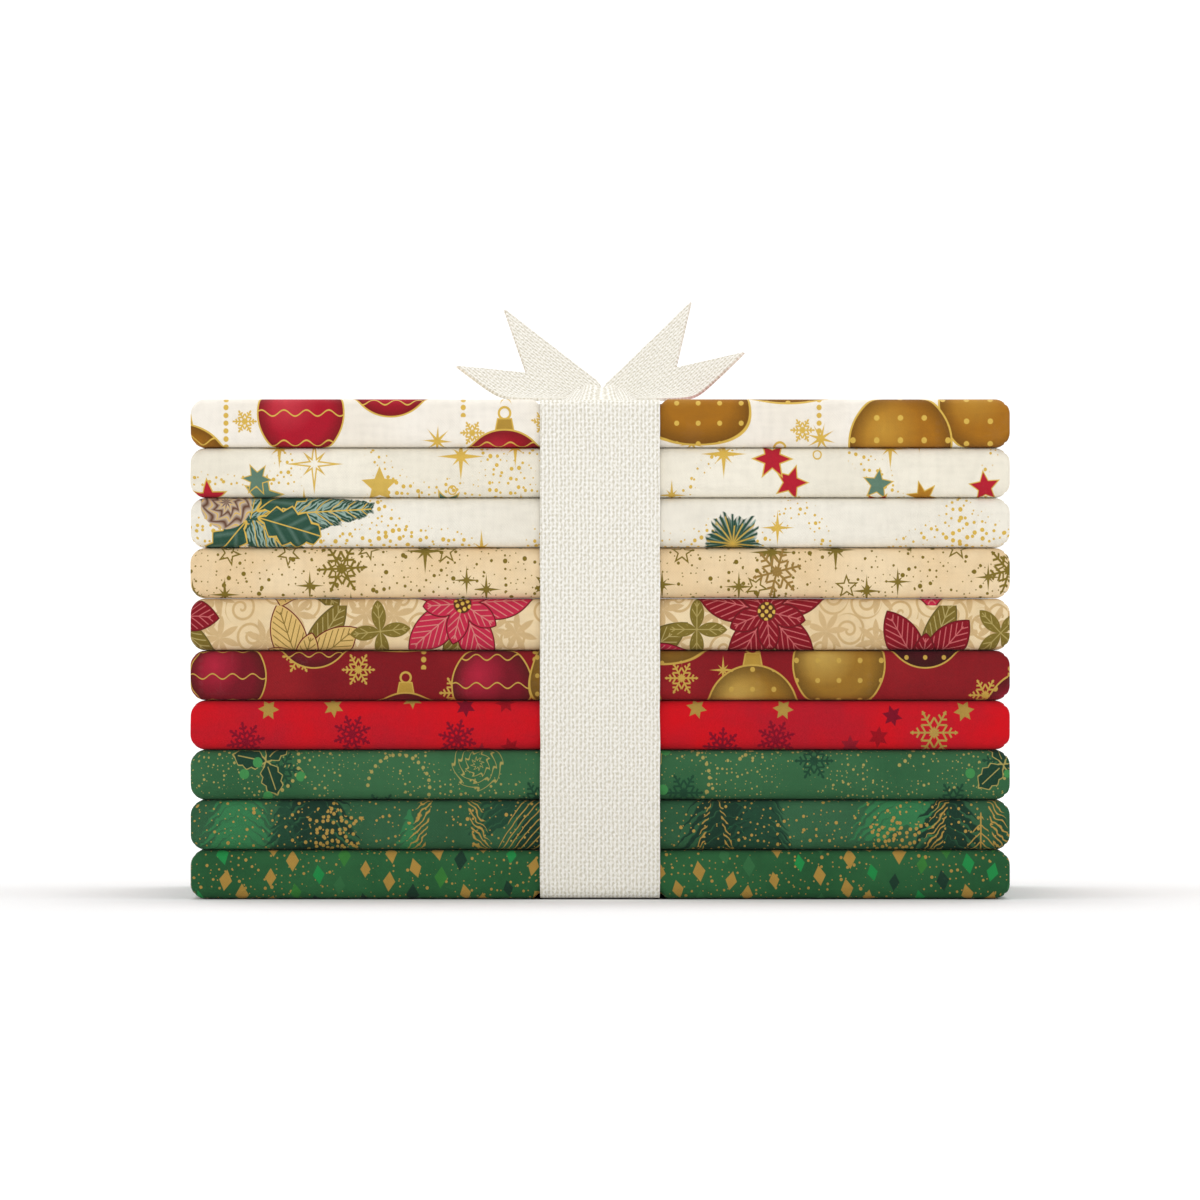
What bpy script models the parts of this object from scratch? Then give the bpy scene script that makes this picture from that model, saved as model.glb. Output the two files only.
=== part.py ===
"""Half-yard fabric bundle: ten printed cottons, each folded three times in half, lie in one
stack that a flat woven ribbon holds. The ribbon is knotted on top, where its two swallowtail
ends stand up. Metres, +Z up, +X along the folds, the front of the stack towards -Y, and the
origin under the middle of the stack, on the surface that it rests on."""

import math
from collections import namedtuple

import bmesh
import bpy
from mathutils import Vector

# Driving sizes
STACK_LENGTH = 0.2286  # half of the 18 inch side of each cut
STACK_DEPTH = 0.1397  # an eighth of the 44 inch side of each cut
CLEARANCE = 0.0003  # between neighbouring pieces
ROUNDOFF = 0.000001
LAYER = 0.00125  # one folded layer, which is two plies of cotton

# Folds of one cloth, in its section seen from the end
LAYERS = 8
NOSE_DEPTH = 0.75  # how far a wide fold reaches, as a share of its half height
NOSE_POWER = 2.4  # squareness of a wide fold: 2 is a plain ellipse
TIGHT_POWER = 2.0  # a fold between neighbouring layers is a plain half circle
TIGHT_STEPS = 3  # facets of such a fold, and one more for each layer that it encloses

# Ends of each cloth, seen from the front
END_RADIUS = 0.0041
END_ANGLES = (90, 66, 42)  # along the rounding, in degrees, down to where the layers are cut off

# Ribbon
RIBBON_WIDTH = 0.0334
RIBBON_THICK = 0.001
DIP_MARGIN = 0.0005  # the cloth dips this much wider than the ribbon on each side
DIP_SLOPE = 0.0025  # width of the dip's sloping sides
DIP = RIBBON_THICK + CLEARANCE
CORNER_STEPS = 5

# Knot: the ribbon's own turn over the roots of its two tails
KNOT_HALF_LENGTH = 0.015
KNOT_HEIGHT = 0.0052
KNOT_WAIST = 0.0085  # half width at its middle
KNOT_FLARE = 0.0118  # half width where it runs out
KNOT_ROWS = 8
KNOT_ARCH_STEPS = 8
KNOT_POWER = 2.8

# Tails
TAIL_ROWS = 9
TAIL_COLUMNS = 8
TAIL_ROOT = -0.013  # where a tail leaves the knot, along its own length from its foot
TAIL_OPEN = -0.003  # where it has opened to its full width
TAIL_PINCH = 0.45  # share of its width that is left at the root
TAIL_EASE = 0.0025  # how softly it lifts off the stack

Cloth = namedtuple("Cloth", "name height back_inset loose_inset colour roughness")
# From the top of the stack to the bottom. The insets are how far a cloth's back folds, and its
# two loose edges under them, stay in front of the stack's back.
CLOTHS = (
    Cloth("cloth_01_pale_baubles", 0.01375, 0.0004, 0.0021, (0.89, 0.85, 0.78), 0.85),
    Cloth("cloth_02_pale_stars", 0.01395, 0.0012, 0.0016, (0.91, 0.88, 0.81), 0.85),
    Cloth("cloth_03_pale_sprays", 0.01395, 0.0000, 0.0028, (0.88, 0.85, 0.76), 0.85),
    Cloth("cloth_04_peach_snowflakes", 0.01410, 0.0015, 0.0024, (0.84, 0.66, 0.41), 0.85),
    Cloth("cloth_05_cream_poinsettias", 0.01450, 0.0006, 0.0019, (0.42, 0.10, 0.08), 0.85),
    Cloth("cloth_06_crimson_baubles", 0.01395, 0.0010, 0.0031, (0.30, 0.03, 0.03), 0.85),
    Cloth("cloth_07_red_stars", 0.01380, 0.0003, 0.0015, (0.52, 0.01, 0.02), 0.85),
    Cloth("cloth_08_green_holly", 0.01395, 0.0014, 0.0026, (0.03, 0.13, 0.05), 0.85),
    Cloth("cloth_09_green_firs", 0.01395, 0.0007, 0.0018, (0.03, 0.12, 0.05), 0.85),
    Cloth("cloth_10_green_lozenges", 0.01375, 0.0002, 0.0022, (0.02, 0.09, 0.03), 0.85),
)
RIBBON_COLOUR = (0.80, 0.77, 0.68)
RIBBON_ROUGHNESS = 0.8

Turn = namedtuple("Turn", "side start end nest")
# One continuous cloth, from its loose edge in layer 8 to its loose edge in layer 7, with layer 1
# on top. The nest is how many layers deep a turn's outermost companion is folded.
TURNS = (
    Turn("front", 8, 1, 8),
    Turn("back", 1, 4, 4),
    Turn("front", 4, 5, 8),
    Turn("back", 5, 6, 2),
    Turn("front", 6, 3, 8),
    Turn("back", 3, 2, 4),
    Turn("front", 2, 7, 8),
)

Tail = namedtuple("Tail", "name side rise turned foot reach middle")
# rise: slope of the tail's middle line. turned: how far its face leans back. foot: where the
# middle line would meet the stack. reach: from there to the notch. middle: its place in Y.
TAILS = (
    Tail("tail_right", 1, 44.4, 50.4, 0.0114, 0.0143, -0.0012),
    Tail("tail_left", -1, 38.0, 49.7, 0.0101, 0.0138, 0.0012),
)

STACK_HEIGHT = sum(cloth.height for cloth in CLOTHS) - CLEARANCE


def finish(name, mesh, colour, roughness):
    """Links a mesh as an object that has its own material."""
    material = bpy.data.materials.new(name)
    material.use_nodes = True
    shader = material.node_tree.nodes["Principled BSDF"]
    shader.inputs["Base Color"].default_value = (*colour, 1.0)
    shader.inputs["Roughness"].default_value = roughness
    shader.inputs["Metallic"].default_value = 0.0
    mesh.materials.append(material)
    mesh.shade_smooth()
    mesh.set_sharp_from_angle(angle=math.radians(50))
    made = bpy.data.objects.new(name, mesh)
    bpy.context.collection.objects.link(made)
    return made


def mesh_from(bm, name):
    bmesh.ops.recalc_face_normals(bm, faces=bm.faces)
    mesh = bpy.data.meshes.new(name)
    bm.to_mesh(mesh)
    bm.free()
    return mesh


def extrude_section(outline_faces, stations):
    """A solid from flat faces in YZ, carried along X from station to station."""
    bm = bmesh.new()
    made = {}
    for face in outline_faces:
        for corner in face:
            if corner not in made:
                made[corner] = bm.verts.new((stations[0], *corner))
        bm.faces.new([made[corner] for corner in face])
    front = list(bm.faces)
    for here, there in zip(stations, stations[1:]):
        grown = bmesh.ops.extrude_face_region(bm, geom=front)["geom"]
        moved = [item for item in grown if isinstance(item, bmesh.types.BMVert)]
        bmesh.ops.translate(bm, verts=moved, vec=(there - here, 0, 0))
        if here != stations[0]:
            bmesh.ops.delete(bm, geom=front, context="FACES_ONLY")
        front = [item for item in grown if isinstance(item, bmesh.types.BMFace)]
    return bm


def arc(centre, reach, rise, power, angles):
    """Points of a squared-off ellipse in YZ, at angles from +Y towards +Z."""
    points = []
    for angle in angles:
        along = math.copysign(abs(math.cos(angle)) ** (2 / power), math.cos(angle))
        up = math.copysign(abs(math.sin(angle)) ** (2 / power), math.sin(angle))
        points.append((centre[0] + reach * along, centre[1] + rise * up))
    return points


def nose_depth(half_height, pitch):
    """How far a turn reaches past the end of its flat layers."""
    return half_height if half_height < pitch else half_height * NOSE_DEPTH


def turn_points(turn, pitch, insets):
    """The middle line of one turn, as (y, z) about the cloth's own middle."""
    first, last = ((LAYERS + 1) / 2 - level for level in (turn.start, turn.end))
    half_height = abs(first - last) / 2 * pitch
    depth = nose_depth(half_height, pitch)
    enclosed = abs(turn.start - turn.end) // 2
    inset = insets[turn.side] + ((turn.nest - 1) / 2 * pitch - half_height) + LAYER / 2
    outward = -1 if turn.side == "front" else 1
    centre = (outward * (STACK_DEPTH / 2 - inset - depth), (first + last) / 2 * pitch)
    power = TIGHT_POWER if enclosed == 0 else NOSE_POWER
    steps = TIGHT_STEPS + enclosed
    upward = 1 if last > first else -1
    angles = [upward * math.pi * (step / steps - 0.5) for step in range(steps + 1)]
    return arc(centre, outward * depth, half_height, power, angles)


def layer_pitch(cloth):
    return (cloth.height - CLEARANCE - LAYER) / (LAYERS - 1)


def fold_line(cloth):
    """The middle line of the whole folded cloth, as (y, z) about its own middle."""
    pitch = layer_pitch(cloth)
    insets = {"front": 0.0, "back": cloth.back_inset}
    loose = STACK_DEPTH / 2 - cloth.loose_inset
    top = (LAYERS - 1) / 2 * pitch
    line = [(loose, -top)]
    for turn in TURNS:
        line += turn_points(turn, pitch, insets)
    line.append((loose - LAYER, pitch - top))
    return line


def thickened(line, thickness):
    """Quads on both sides of an open line in YZ, as the section of a sheet."""
    points = [Vector(point) for point in line]
    ways = [(b - a).normalized() for a, b in zip(points, points[1:])]
    sides = []
    for index, point in enumerate(points):
        before = ways[max(index - 1, 0)]
        after = ways[min(index, len(ways) - 1)]
        normal = Vector((-before.y - after.y, before.x + after.x)).normalized()
        half = thickness / 2 / normal.dot(Vector((-after.y, after.x)))
        sides.append((tuple(point + normal * half), tuple(point - normal * half)))
    return [(a[0], b[0], b[1], a[1]) for a, b in zip(sides, sides[1:])]


def end_stations():
    """Distances from a cloth's end at which its rounding is cut into facets."""
    return [END_RADIUS * (1 - math.cos(math.radians(angle))) for angle in END_ANGLES]


def shape_ends(bm, half_height):
    """Draws the layers together at both ends and rounds the corners off in front view."""
    flat = half_height - END_RADIUS
    round_from = STACK_LENGTH / 2 - END_RADIUS
    cut_off = STACK_LENGTH / 2 - end_stations()[-1]
    for vert in bm.verts:
        away = max(abs(vert.co.x) - round_from, 0.0)
        at_end = abs(vert.co.x) > cut_off - ROUNDOFF
        vert.co.z *= (flat + math.sqrt(END_RADIUS**2 - away**2)) / half_height
        if at_end:
            over = max(abs(vert.co.z) - flat, 0.0)
            reach = round_from + math.sqrt(END_RADIUS**2 - over**2)
            vert.co.x = math.copysign(reach, vert.co.x)


def dip_under_ribbon(bm, half_height, outer):
    """Presses the stack's top or bottom cloth in where the ribbon crosses it. outer is 1 for
    the top cloth, whose upper side gives way, and -1 for the bottom one."""
    full = RIBBON_WIDTH / 2 + DIP_MARGIN
    for vert in bm.verts:
        share = min(max((full + DIP_SLOPE - abs(vert.co.x)) / DIP_SLOPE, 0.0), 1.0)
        from_still = vert.co.z * outer + half_height
        vert.co.z -= outer * from_still * share * DIP / (2 * half_height)


def build_cloth(cloth, floor, outer):
    """One folded cloth. outer is 1, 0 or -1 for the top, a middle or the bottom one."""
    half_height = (cloth.height - CLEARANCE) / 2
    stations = [STACK_LENGTH / 2 - distance for distance in end_stations()]
    if outer:
        dip_edge = RIBBON_WIDTH / 2 + DIP_MARGIN
        stations = [dip_edge, dip_edge + DIP_SLOPE] + stations
    stations = sorted([-x for x in stations] + stations)
    bm = extrude_section(thickened(fold_line(cloth), LAYER), stations)
    shape_ends(bm, half_height)
    if outer:
        dip_under_ribbon(bm, half_height, outer)
    bmesh.ops.translate(bm, verts=bm.verts, vec=(0, 0, floor + half_height))
    return finish(cloth.name, mesh_from(bm, cloth.name), cloth.colour, cloth.roughness)


def quarter(start, steps=CORNER_STEPS):
    """Angles of a quarter turn from start, anticlockwise seen from +X."""
    return [start + math.pi / 2 * step / steps for step in range(steps + 1)]


def ribbon_corner(cloth, outer, side, floor):
    """The centre, reach and rise of the ribbon's arc round a corner of the top or bottom cloth."""
    height = cloth.height - CLEARANCE
    nest = LAYERS if side == "front" else LAYERS // 2
    turn_rise = (nest - 1) / 2 * layer_pitch(cloth)
    depth = nose_depth(turn_rise, layer_pitch(cloth))
    out = CLEARANCE + RIBBON_THICK / 2
    rise = (turn_rise + LAYER / 2) * (1 - DIP / height) + out
    face = floor + (height - DIP if outer > 0 else DIP)
    outward = -1 if side == "front" else 1
    centre = (outward * (STACK_DEPTH / 2 - LAYER / 2 - depth), face + outer * (out - rise))
    return centre, depth + LAYER / 2 + out, rise


def ribbon_line(floor_of):
    """The closed middle line of the ribbon round the stack, anticlockwise seen from +X."""
    top, bottom = CLOTHS[0], CLOTHS[-1]
    line = []
    centre, reach, rise = ribbon_corner(top, 1, "back", floor_of[top.name])
    line += arc(centre, reach, rise, NOSE_POWER, quarter(0))
    centre, reach, rise = ribbon_corner(top, 1, "front", floor_of[top.name])
    line += arc(centre, reach, rise, NOSE_POWER, quarter(math.pi / 2))
    centre, reach, rise = ribbon_corner(bottom, -1, "front", floor_of[bottom.name])
    line += arc(centre, reach, rise, NOSE_POWER, quarter(math.pi))
    out = CLEARANCE + RIBBON_THICK / 2
    turn = 2 * out
    centre = (STACK_DEPTH / 2 + out - turn, RIBBON_THICK / 2 + turn)
    line += arc(centre, turn, turn, TIGHT_POWER, quarter(math.pi * 1.5, 3))
    return line


def build_band(floor_of):
    """The ribbon's run round the stack, before the knot and the tails are joined to it."""
    line = ribbon_line(floor_of)
    closed = [line[-1]] + line + [line[0], line[1]]
    quads = thickened(closed, RIBBON_THICK)[1:-1]
    stations = (-RIBBON_WIDTH / 2, RIBBON_WIDTH / 2)
    bm = extrude_section(quads, stations)
    return finish("tie_ribbon", mesh_from(bm, "tie_ribbon"), RIBBON_COLOUR, RIBBON_ROUGHNESS)


def build_knot():
    """The ribbon's turn over the tails' roots: low at both ends, highest over its waist."""
    bm = bmesh.new()
    rows = []
    for row in range(KNOT_ROWS + 1):
        along = 2 * row / KNOT_ROWS - 1
        swell = math.cos(along * math.pi / 2) ** 2
        half_width = KNOT_FLARE + (KNOT_WAIST - KNOT_FLARE) * swell
        height = CLEARANCE + (KNOT_HEIGHT - CLEARANCE) * swell
        angles = [math.pi * step / KNOT_ARCH_STEPS for step in range(KNOT_ARCH_STEPS + 1)]
        arch = arc((0, 0), half_width, height, KNOT_POWER, angles)
        below = -RIBBON_THICK / 2
        outline = [(half_width, below)] + arch + [(-half_width, below)]
        y = along * KNOT_HALF_LENGTH
        rows.append([bm.verts.new((x, y, STACK_HEIGHT + z)) for x, z in outline])
    count = len(rows[0])
    for near, far in zip(rows, rows[1:]):
        for index in range(count):
            after = (index + 1) % count
            bm.faces.new((near[index], near[after], far[after], far[index]))
    bm.faces.new(rows[0])
    bm.faces.new(rows[-1])
    return mesh_from(bm, "knot")


def eased(share):
    share = min(max(share, 0.0), 1.0)
    return share * share * (3 - 2 * share)


def tail_point(tail, along, across):
    """A point of a tail. along runs from its foot to its end, and across from -1, its lower
    front edge, to 1, its upper back edge."""
    rise, turned = math.radians(tail.rise), math.radians(tail.turned)
    opened = eased((along - TAIL_ROOT) / (TAIL_OPEN - TAIL_ROOT))
    half_width = RIBBON_WIDTH / 2 * across * (TAIL_PINCH + (1 - TAIL_PINCH) * opened)
    upward = half_width * math.cos(turned)
    x = tail.foot + along * math.cos(rise) - upward * math.sin(rise)
    y = tail.middle * opened + half_width * math.sin(turned)
    lying = CLEARANCE + RIBBON_THICK / 2
    above = along * math.sin(rise) + upward * math.cos(rise) - lying
    lifted = (above + math.sqrt(above**2 + TAIL_EASE**2)) / 2
    return (tail.side * x, y, STACK_HEIGHT + lying + lifted)


def build_tail(tail):
    """One free end: pinched in the knot, opening to the ribbon's width, cut to a swallowtail."""
    bm = bmesh.new()
    rows = []
    for row in range(TAIL_ROWS + 1):
        verts = []
        for column in range(TAIL_COLUMNS + 1):
            across = 2 * column / TAIL_COLUMNS - 1
            end = tail.reach + abs(across) * RIBBON_WIDTH / 2
            along = TAIL_ROOT + (end - TAIL_ROOT) * row / TAIL_ROWS
            verts.append(bm.verts.new(tail_point(tail, along, across)))
        rows.append(verts)
    for near, far in zip(rows, rows[1:]):
        for column in range(TAIL_COLUMNS):
            bm.faces.new((near[column], near[column + 1], far[column + 1], far[column]))
    return mesh_from(bm, tail.name)


def join_to(ribbon, mesh, thickness=None):
    """Joins another stretch of the ribbon to it, given its thickness where it is a sheet."""
    guide = bpy.data.objects.new(mesh.name, mesh)
    guide.hide_render = True
    guide.display_type = "WIRE"
    bpy.context.collection.objects.link(guide)
    if thickness:
        sheet = guide.modifiers.new("thickness", "SOLIDIFY")
        sheet.thickness = thickness
        sheet.offset = 0.0
        sheet.use_even_offset = True
    joint = ribbon.modifiers.new("join " + mesh.name, "BOOLEAN")
    joint.operation = "UNION"
    joint.solver = "EXACT"
    joint.object = guide


def main():
    for old in list(bpy.data.objects):
        bpy.data.objects.remove(old)
    floor_of = {}
    floor = 0.0
    for cloth in reversed(CLOTHS):
        floor_of[cloth.name] = floor
        outer = (cloth is CLOTHS[0]) - (cloth is CLOTHS[-1])
        build_cloth(cloth, floor, outer)
        floor += cloth.height
    ribbon = build_band(floor_of)
    join_to(ribbon, build_knot())
    for tail in TAILS:
        join_to(ribbon, build_tail(tail), RIBBON_THICK)


main()
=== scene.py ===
"""A half-yard bundle of ten printed quilting cottons. Each cut is folded once across its
18 inch side and three times in half along its 44 inch side, the folded cuts lie in one
stack, and a flat woven ribbon goes round them and is knotted on top."""

import math
from functools import cache
from itertools import accumulate

import bpy
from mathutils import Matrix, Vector, noise


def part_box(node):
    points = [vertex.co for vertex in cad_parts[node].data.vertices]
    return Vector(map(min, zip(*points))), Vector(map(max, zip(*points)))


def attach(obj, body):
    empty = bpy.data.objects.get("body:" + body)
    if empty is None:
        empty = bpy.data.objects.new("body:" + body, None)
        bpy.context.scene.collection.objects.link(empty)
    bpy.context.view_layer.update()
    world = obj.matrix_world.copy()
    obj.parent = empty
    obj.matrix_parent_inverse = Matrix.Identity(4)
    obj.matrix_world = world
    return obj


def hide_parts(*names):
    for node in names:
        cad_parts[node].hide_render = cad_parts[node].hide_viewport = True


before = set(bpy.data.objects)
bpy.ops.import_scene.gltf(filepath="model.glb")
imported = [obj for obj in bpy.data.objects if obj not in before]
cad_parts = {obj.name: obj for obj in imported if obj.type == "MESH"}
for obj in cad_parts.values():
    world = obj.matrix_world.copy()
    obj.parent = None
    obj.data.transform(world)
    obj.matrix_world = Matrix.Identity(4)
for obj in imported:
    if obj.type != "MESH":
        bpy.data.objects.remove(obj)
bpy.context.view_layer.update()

# Camera
# It stands far off and level, square to the front folds, with a long lens, as for a catalogue.
STACK_SHARE = 820 / 1200  # of the picture's width
TOP_ABOVE_MIDDLE = 201 / 1200  # the stack's top above the picture's middle, in widths
LENS = 300.0
SENSOR = 36.0

front_low, front_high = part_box("cloth_01_pale_baubles")
picture_width = (front_high.x - front_low.x) / STACK_SHARE
eye = Vector((
    0.0,
    front_low.y - picture_width * LENS / SENSOR,
    front_high.z - TOP_ABOVE_MIDDLE * picture_width,
))
bpy.ops.object.select_all(action="DESELECT")
bpy.ops.object.camera_add(location=eye, rotation=(math.pi / 2, 0.0, 0.0))
camera = bpy.context.object
camera.name = "camera"
camera.data.lens = LENS
camera.data.sensor_width = SENSOR
camera.data.clip_end = 50.0
bpy.context.scene.camera = camera

# First cloth: ivory with hanging baubles
# A cut of plain-woven quilting cotton, 18 by 44 inches, printed on one side. It is folded with
# its printed side out, so each of its eight folded layers is two plies of cloth. The ends of
# the plies lie open at the left, and their fold is at the right. Nothing is sewn or glued.
CUT = (0.4572, 1.1176)
COTTON = 0.0003  # thickness of one ply
LAYER = 0.00125  # two plies, with the air between them
LAYERS = 8
PLY_OFFSET = (LAYER - COTTON) / 2
NOSE_DEPTH = 0.75  # how far a wide fold reaches, as a share of its half height
NOSE_POWER = 3.8
TIGHT_POWER = 2.0
END_RADIUS = 0.0041
END_REACH = math.sin(math.radians(48))  # share of the end's rounding that the layers run through
END_STEPS = 7
WRAP_STEPS = 5  # across the small fold at the right
PANEL_STEPS = 5
PANEL = CUT[1] / LAYERS
NOSE_SHOWN = 0.012  # how far from its middle a wide fold can be seen
# The strips of the map that a cut's looks are kept on, which is 1 high
STRIP_MARGIN = 0.005  # left clear at each end of every strip
RIM_STRIPS = (0.01, 0.014, 0.01)  # foot of the first rim, step from one rim to the next, height
SIDE_STRIPS = ((0.15, 0.99), (0.07, 0.13))  # foot and head of the printed side and of the reverse
CUT_WAVER = 0.0004  # how far a cut edge may stay back from a straight line
PLY_WAVER = 0.00014  # how far a ply swells from its flat place
PLY_SWELLS = (20, 14)  # about how many swells there are to a metre, across a ply and along it
EDGE_SWELLS = 60  # and along a cut edge
LOFT = 0.00011  # how far a cut fills the space towards its neighbours
RIBBON_WIDTH = 0.0334
DIP_HALF_WIDTH = RIBBON_WIDTH / 2 + 0.0005
DIP_SLOPE = 0.0014
DIP = 0.0013
# side, first layer, last layer, layers in its nest, facets
TURNS = (
    ("front", 8, 1, 8, 18),
    ("back", 1, 4, 4, 12),
    ("front", 4, 5, 8, 6),
    ("back", 5, 6, 2, 6),
    ("front", 6, 3, 8, 12),
    ("back", 3, 2, 4, 6),
    ("front", 2, 7, 8, 16),
)
# distances from the middle of a ply at which it has a row of points
PLY_ROWS = (0.0, 0.009, 0.0172, 0.0180, 0.0188, 0.0197, 0.026, 0.036, 0.047, 0.059, 0.072, 0.085, 0.098)


def eased(share):
    share = min(max(share, 0.0), 1.0)
    return share * share * (3 - 2 * share)


def fold_points(depth, height, back_inset, loose_inset):
    """The middle line of a folded cut in its section, as (y, z) about the cloth's middle, and
    the number of the point at the outermost front fold's middle."""
    pitch = (height - LAYER) / (LAYERS - 1)
    top = (LAYERS - 1) / 2 * pitch
    loose = depth / 2 - loose_inset
    runs = [[Vector((loose, -top))]]
    for side, first, last, nest, steps in TURNS:
        start, end = (((LAYERS + 1) / 2 - layer) * pitch for layer in (first, last))
        rise = abs(start - end) / 2
        tight = rise < pitch
        reach = rise if tight else rise * NOSE_DEPTH
        power = TIGHT_POWER if tight else NOSE_POWER
        inset = (back_inset if side == "back" else 0.0) + LAYER / 2
        inset += (nest - 1) / 2 * pitch - rise
        outward = -1 if side == "front" else 1
        upward = 1 if end > start else -1
        centre = Vector((outward * (depth / 2 - inset - reach), (start + end) / 2))
        run = []
        for step in range(steps + 1):
            angle = math.pi * (step / steps - 0.5)
            along = abs(math.cos(angle)) ** (2 / power)
            up = math.copysign(abs(math.sin(angle)) ** (2 / power), angle)
            run.append(centre + Vector((outward * reach * along, upward * rise * up)))
        runs.append(run)
    runs.append([Vector((loose - LAYER, pitch - top))])
    points = []
    for near, far in zip(runs, runs[1:]):
        points += near
        points += [near[-1].lerp(far[0], step / PANEL_STEPS) for step in range(1, PANEL_STEPS)]
    return points + runs[-1], PANEL_STEPS + TURNS[0][4] // 2


def left_normals(points):
    """A normal to the left of the line at each of its points, long enough to keep a width even."""
    ways = [(b - a).normalized() for a, b in zip(points, points[1:])]
    normals = []
    for number in range(len(points)):
        before = ways[max(number - 1, 0)]
        after = ways[min(number, len(ways) - 1)]
        normal = Vector((-before.y - after.y, before.x + after.x)).normalized()
        normals.append(normal / normal.dot(Vector((-after.y, after.x))))
    return normals


def ply_stations(radius):
    """Stations across a cut, from its left edge through the fold at the right and back: the
    side of the middle, the share of the end's rounding, the distance from the middle where it
    is short of the rounding, the offset from the layer's middle line, and a small shift in x."""
    outer = PLY_OFFSET + COTTON / 2
    shares = [(step + 1) / END_STEPS for step in range(END_STEPS)]
    middle = [-row for row in reversed(PLY_ROWS[1:])] + list(PLY_ROWS)
    upper = [(-1, share, None, radius, 0.0) for share in reversed(shares)]
    upper.append((-1, 0.0, None, radius, 0.0))
    upper += [(math.copysign(1, row), 0.0, abs(row), radius, 0.0) for row in middle]
    upper.append((1, 0.0, None, radius, 0.0))
    upper += [(1, share, None, radius, 0.0) for share in shares[:-1]]
    lower = [(side, share, row, -radius, shift) for side, share, row, _, shift in reversed(upper)]
    wrap = []
    for step in range(WRAP_STEPS + 1):
        angle = math.pi * step / WRAP_STEPS
        shift = radius * math.sin(angle) - outer
        wrap.append((1, 1.0, None, radius * math.cos(angle), shift))
    return upper + wrap + lower


def run_along(points):
    """How far along a line of points each of them lies."""
    return list(accumulate([0.0] + [(there - here).length for here, there in zip(points, points[1:])]))


def roomed(places, stretches):
    """Where each place comes on a line from 0 to 1 when some stretches get more room than the
    rest. It spaces the map that a cut's looks are kept on, so what is seen is kept sharp."""
    reached = [0.0]
    for here, there in zip(places, places[1:]):
        middle = (here + there) / 2
        room = max([1.0] + [room for low, high, room in stretches if low < middle < high])
        reached.append(reached[-1] + (there - here) * room)
    return [place / reached[-1] for place in reached]


def sheet_object(name, points, faces, **maps):
    """A sheet whose maps give each corner of its faces a flat place."""
    mesh = bpy.data.meshes.new(name)
    mesh.from_pydata(points, [], faces)
    for title, places in maps.items():
        layout = mesh.uv_layers.new(name=title, do_init=False)
        layout.data.foreach_set("uv", [value for place in places for value in place])
    piece = bpy.data.objects.new(name, mesh)
    bpy.context.collection.objects.link(piece)
    return piece


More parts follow.
